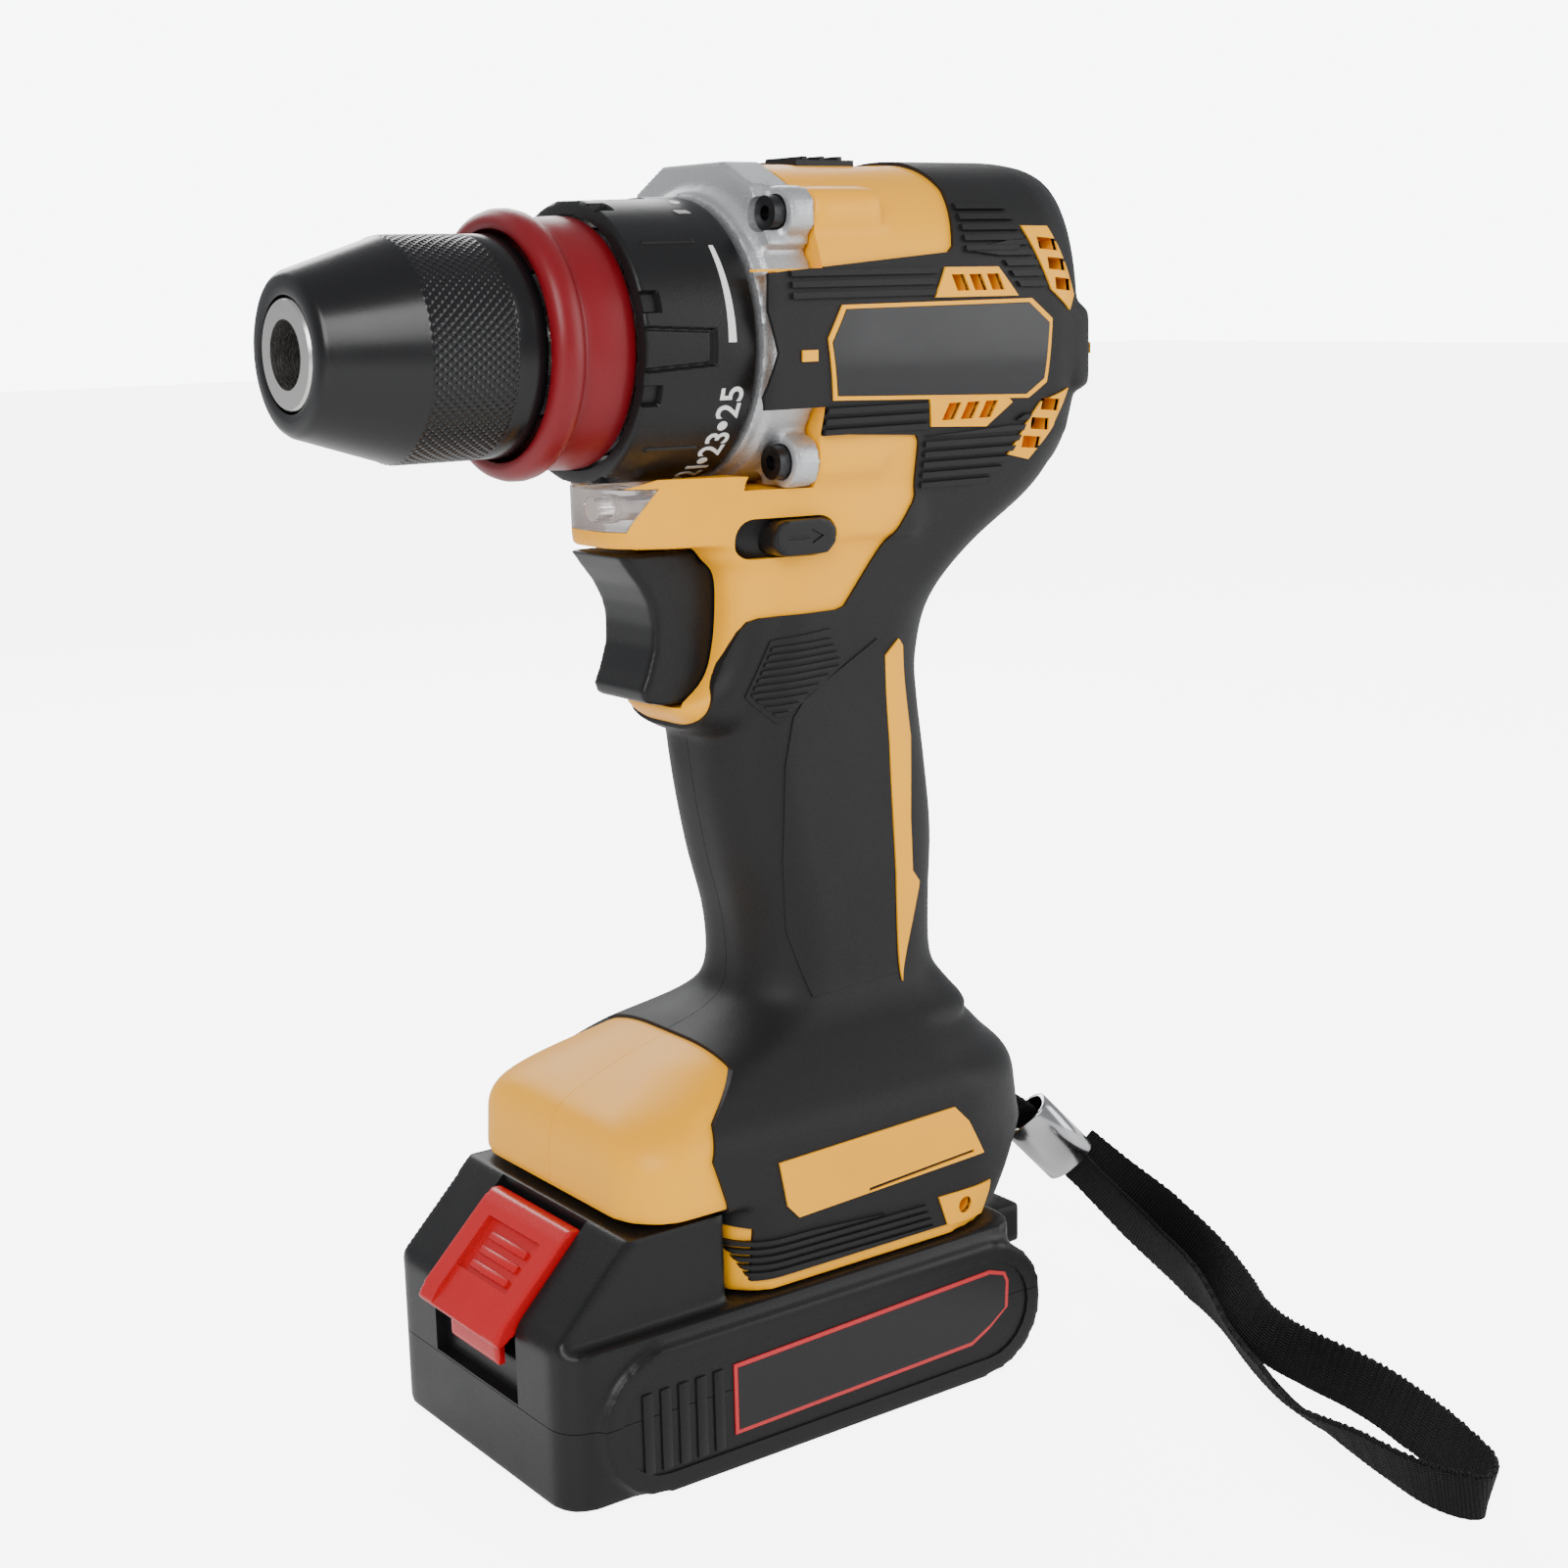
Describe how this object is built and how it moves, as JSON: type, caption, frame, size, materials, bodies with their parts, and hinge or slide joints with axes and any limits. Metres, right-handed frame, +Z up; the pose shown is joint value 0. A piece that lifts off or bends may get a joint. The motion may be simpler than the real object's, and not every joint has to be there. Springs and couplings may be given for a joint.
{
  "type": "cordless drill",
  "caption": "Battery drill driver: keyless chuck, torque collar, planetary gearbox, brushed motor, pistol grip with trigger and slide-on battery pack, and a wrist strap.",
  "frame": {"origin": "middle of the battery's base, on the surface that the drill stands on", "axes": "+Z up, +X towards the rear of the tool with the chuck pointing along -X, +Y towards the tool's right side"},
  "size_m": [0.2085, 0.1879, 0.2642],
  "materials": {
    "yellow_plastic": "satin, fine grain",
    "black_rubber": "matte, soft",
    "black_plastic": "satin",
    "red_plastic": "satin",
    "cast_aluminium": "fine cast, painted silver",
    "steel": "turned",
    "black_steel": "black oxide",
    "clear_plastic": "clear",
    "copper": "bare",
    "webbing": "woven",
    "cell_wrap": "shrink film",
    "circuit_board": "solder mask",
    "white_plastic": "gloss"
  },
  "bodies": {
    "housing": {"housing_left": "yellow_plastic", "housing_right": "yellow_plastic", "grip_overmould_left": "black_rubber", "grip_overmould_right": "black_rubber", "badge_plates": "black_plastic", "gearbox_cover": "cast_aluminium", "cover_screws": "black_steel", "housing_screws": "steel", "spindle_bearing": "steel", "clutch_spring": "steel", "ring_gears": "steel", "gearbox_back_plate": "steel", "motor_can": "steel", "motor_magnets": "black_steel", "motor_bearings": "steel", "motor_end_cap": "black_plastic", "carbon_brushes": "copper", "led_lens": "clear_plastic", "work_light_led": "white_plastic", "terminal_block": "black_plastic", "control_board": "circuit_board", "trigger_switch": "black_plastic", "power_leads": "red_plastic", "strap_pin": "steel", "strap_ferrule": "steel", "strap_webbing": "webbing", "trigger_spring": "steel", "release_spring": "steel"},
    "battery": {"battery_case_lower": "black_plastic", "battery_case_upper": "black_plastic", "battery_screws": "black_steel", "battery_cells": "cell_wrap", "battery_board": "circuit_board", "latch_spring": "steel"},
    "latch": {"battery_latch": "red_plastic"},
    "trigger": {"trigger": "black_plastic"},
    "direction_lever": {"direction_lever": "black_plastic"},
    "speed_selector": {"speed_selector": "black_plastic"},
    "torque_collar": {"torque_collar": "black_plastic", "clutch_nut": "steel"},
    "release_ring": {"release_ring": "red_plastic"},
    "spindle": {"spindle": "steel", "chuck_body": "steel", "output_carrier": "steel"},
    "chuck_sleeve": {"chuck_sleeve": "black_plastic", "chuck_nut": "steel"},
    "intermediate_carrier": {"intermediate_carrier": "steel"},
    "motor_rotor": {"armature": "steel", "motor_shaft": "steel", "motor_pinion": "steel", "cooling_fan": "white_plastic"},
    "jaw_1": {"chuck_jaw_1": "steel"},
    "output_planet_1": {"output_planet_gear_1": "steel"},
    "input_planet_1": {"input_planet_gear_1": "steel"},
    "jaw_2": {"chuck_jaw_2": "steel"},
    "output_planet_2": {"output_planet_gear_2": "steel"},
    "input_planet_2": {"input_planet_gear_2": "steel"},
    "jaw_3": {"chuck_jaw_3": "steel"},
    "output_planet_3": {"output_planet_gear_3": "steel"},
    "input_planet_3": {"input_planet_gear_3": "steel"}
  },
  "joints": [
    {"name": "spindle_spin", "type": "hinge", "parent": "housing", "child": "spindle", "pos_m": [0, 0, 0.228], "axis": [1, 0, 0], "continuous": true},
    {"name": "intermediate_spin", "type": "hinge", "parent": "housing", "child": "intermediate_carrier", "pos_m": [0, 0, 0.228], "axis": [1, 0, 0], "continuous": true},
    {"name": "motor_spin", "type": "hinge", "parent": "housing", "child": "motor_rotor", "pos_m": [0, 0, 0.228], "axis": [1, 0, 0], "continuous": true},
    {"name": "output_planet_1_spin", "type": "hinge", "parent": "spindle", "child": "output_planet_1", "pos_m": [-0.01, 0, 0.24], "axis": [1, 0, 0], "continuous": true},
    {"name": "input_planet_1_spin", "type": "hinge", "parent": "intermediate_carrier", "child": "input_planet_1", "pos_m": [0.004, 0, 0.24], "axis": [1, 0, 0], "continuous": true},
    {"name": "output_planet_2_spin", "type": "hinge", "parent": "spindle", "child": "output_planet_2", "pos_m": [-0.01, -0.01039, 0.222], "axis": [1, 0, 0], "continuous": true},
    {"name": "input_planet_2_spin", "type": "hinge", "parent": "intermediate_carrier", "child": "input_planet_2", "pos_m": [0.004, -0.01039, 0.222], "axis": [1, 0, 0], "continuous": true},
    {"name": "output_planet_3_spin", "type": "hinge", "parent": "spindle", "child": "output_planet_3", "pos_m": [-0.01, 0.01039, 0.222], "axis": [1, 0, 0], "continuous": true},
    {"name": "input_planet_3_spin", "type": "hinge", "parent": "intermediate_carrier", "child": "input_planet_3", "pos_m": [0.004, 0.01039, 0.222], "axis": [1, 0, 0], "continuous": true},
    {"name": "chuck_sleeve_turn", "type": "hinge", "parent": "spindle", "child": "chuck_sleeve", "pos_m": [0, 0, 0.228], "axis": [1, 0, 0], "range_deg": [0, 3809]},
    {"name": "jaw_1_slide", "type": "slide", "parent": "spindle", "child": "jaw_1", "axis": [-0.9397, 0, -0.342], "range_m": [0, 0.0168]},
    {"name": "jaw_2_slide", "type": "slide", "parent": "spindle", "child": "jaw_2", "axis": [-0.9397, 0.2962, 0.171], "range_m": [0, 0.0168]},
    {"name": "jaw_3_slide", "type": "slide", "parent": "spindle", "child": "jaw_3", "axis": [-0.9397, -0.2962, 0.171], "range_m": [0, 0.0168]},
    {"name": "torque_collar_turn", "type": "hinge", "parent": "housing", "child": "torque_collar", "pos_m": [0, 0, 0.228], "axis": [1, 0, 0], "range_deg": [-290, 0]},
    {"name": "release_ring_pull", "type": "slide", "parent": "housing", "child": "release_ring", "axis": [1, 0, 0], "range_m": [0, 0.0035], "stiffness_N_per_m": 600, "springref_m": -0.003, "deforming": ["release_spring"]},
    {"name": "trigger_pull", "type": "slide", "parent": "housing", "child": "trigger", "axis": [1, 0, 0], "range_m": [0, 0.007], "stiffness_N_per_m": 700, "springref_m": -0.003, "deforming": ["trigger_spring"]},
    {"name": "direction_lever_slide", "type": "slide", "parent": "housing", "child": "direction_lever", "axis": [0, 1, 0], "range_m": [-0.003, 0.003]},
    {"name": "speed_selector_slide", "type": "slide", "parent": "housing", "child": "speed_selector", "axis": [1, 0, 0], "range_m": [0, 0.008]},
    {"name": "battery_slide", "type": "slide", "parent": "housing", "child": "battery", "axis": [-1, 0, 0], "range_m": [0, 0.08]},
    {"name": "latch_press", "type": "slide", "parent": "battery", "child": "latch", "axis": [0, 0, -1], "range_m": [0, 0.005], "stiffness_N_per_m": 900, "springref_m": -0.003, "deforming": ["latch_spring"]}
  ],
  "couplings": [
    {"joint": "intermediate_spin", "follows": "spindle_spin", "ratio": 4},
    {"joint": "motor_spin", "follows": "spindle_spin", "ratio": 16},
    {"joint": "output_planet_1_spin", "follows": "spindle_spin", "ratio": -3},
    {"joint": "input_planet_1_spin", "follows": "spindle_spin", "ratio": -12},
    {"joint": "output_planet_2_spin", "follows": "spindle_spin", "ratio": -3},
    {"joint": "input_planet_2_spin", "follows": "spindle_spin", "ratio": -12},
    {"joint": "output_planet_3_spin", "follows": "spindle_spin", "ratio": -3},
    {"joint": "input_planet_3_spin", "follows": "spindle_spin", "ratio": -12},
    {"joint": "jaw_1_slide", "follows": "chuck_sleeve_turn", "m_per_rad": 0.00025266},
    {"joint": "jaw_2_slide", "follows": "chuck_sleeve_turn", "m_per_rad": 0.00025266},
    {"joint": "jaw_3_slide", "follows": "chuck_sleeve_turn", "m_per_rad": 0.00025266}
  ]
}
